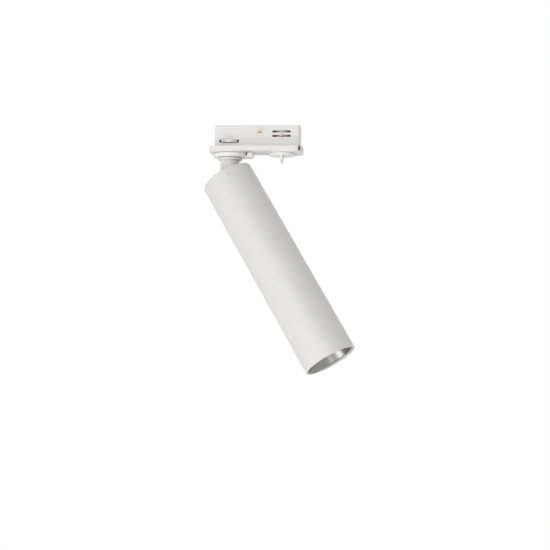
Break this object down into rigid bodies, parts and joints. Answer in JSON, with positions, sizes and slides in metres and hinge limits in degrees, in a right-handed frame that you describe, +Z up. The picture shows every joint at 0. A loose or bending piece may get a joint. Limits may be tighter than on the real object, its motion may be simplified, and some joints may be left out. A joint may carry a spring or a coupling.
{
  "type": "track spotlight",
  "caption": "Slim cylinder spotlight on a pan and tilt stem, under a track adapter with a lock lever and a circuit selector.",
  "frame": {"origin": "on the pan axis, at the seat plane where the adapter's base plate meets the underside of the track", "axes": "+Z up into the track, +X along the track towards the circuit selector, +Y across the track"},
  "size_m": [0.1549, 0.1027, 0.2537],
  "materials": {
    "powder_coat": "matte",
    "adapter_plastic": "satin",
    "lever_plastic": "satin",
    "inner_plastic": "satin",
    "dark_plastic": "satin",
    "steel": "satin",
    "aluminium": "satin",
    "reflector_metal": "polished",
    "contact_metal": "satin",
    "transformer_core": "matte",
    "circuit_board": "satin",
    "white_board": "satin",
    "light_source": "matte",
    "lead_jacket": "matte"
  },
  "bodies": {
    "adapter": {"base_plate": "adapter_plastic", "corner_catch": "dark_plastic", "track_housing": "adapter_plastic", "housing_cover": "adapter_plastic", "cover_screw_1": "steel", "cover_screw_2": "steel", "cover_screw_3": "steel", "terminal_block": "inner_plastic", "neutral_contact": "contact_metal", "earth_contact": "contact_metal", "detent_spring": "steel", "adapter_lead": "lead_jacket"},
    "lever": {"lock_lever": "lever_plastic", "lock_cam": "steel"},
    "selector": {"selector_knob": "lever_plastic", "contact_drum": "inner_plastic", "phase_contact_1": "contact_metal", "phase_contact_2": "contact_metal", "phase_contact_3": "contact_metal"},
    "swivel": {"stem": "powder_coat", "threaded_tube": "steel", "friction_washer": "inner_plastic", "spring_washer": "steel", "stop_washer": "steel", "stem_nut": "steel", "tilt_washer_1": "inner_plastic", "tilt_washer_2": "inner_plastic", "stem_lead": "lead_jacket"},
    "head": {"tube_housing": "powder_coat", "top_cap": "powder_coat", "cap_screw_1": "powder_coat", "cap_screw_2": "powder_coat", "cap_screw_3": "powder_coat", "hinge_bolt": "steel", "hinge_nut": "steel", "spine": "aluminium", "spine_screw_top": "steel", "spine_screw_foot_1": "steel", "spine_screw_foot_2": "steel", "driver_case": "inner_plastic", "driver_lid": "inner_plastic", "driver_board": "circuit_board", "driver_screw_1": "steel", "driver_screw_2": "steel", "transformer": "transformer_core", "capacitor": "dark_plastic", "choke_coil": "contact_metal", "board_terminal_1": "inner_plastic", "board_terminal_2": "inner_plastic", "driver_lead": "lead_jacket", "led_lead": "lead_jacket", "heat_sink": "aluminium", "led_board": "white_board", "led_chip": "light_source", "led_holder": "inner_plastic", "holder_screw_1": "steel", "holder_screw_2": "steel", "reflector": "reflector_metal"}
  },
  "joints": [
    {"name": "lever_turn", "type": "hinge", "parent": "adapter", "child": "lever", "pos_m": [0, 0, -0.0094], "axis": [0, 0, 1], "range_deg": [-90, 0]},
    {"name": "selector_turn", "type": "hinge", "parent": "adapter", "child": "selector", "pos_m": [0.0537, 0, -0.008], "axis": [0, 0, 1], "range_deg": [-90, 45]},
    {"name": "pan", "type": "hinge", "parent": "adapter", "child": "swivel", "pos_m": [0, 0, -0.0125], "axis": [0, 0, 1], "range_deg": [-140.1, 189.9]},
    {"name": "tilt", "type": "hinge", "parent": "swivel", "child": "head", "pos_m": [0, 0, -0.0414], "axis": [-0.421, -0.907, 0], "range_deg": [-32.9, 13.1]}
  ]
}
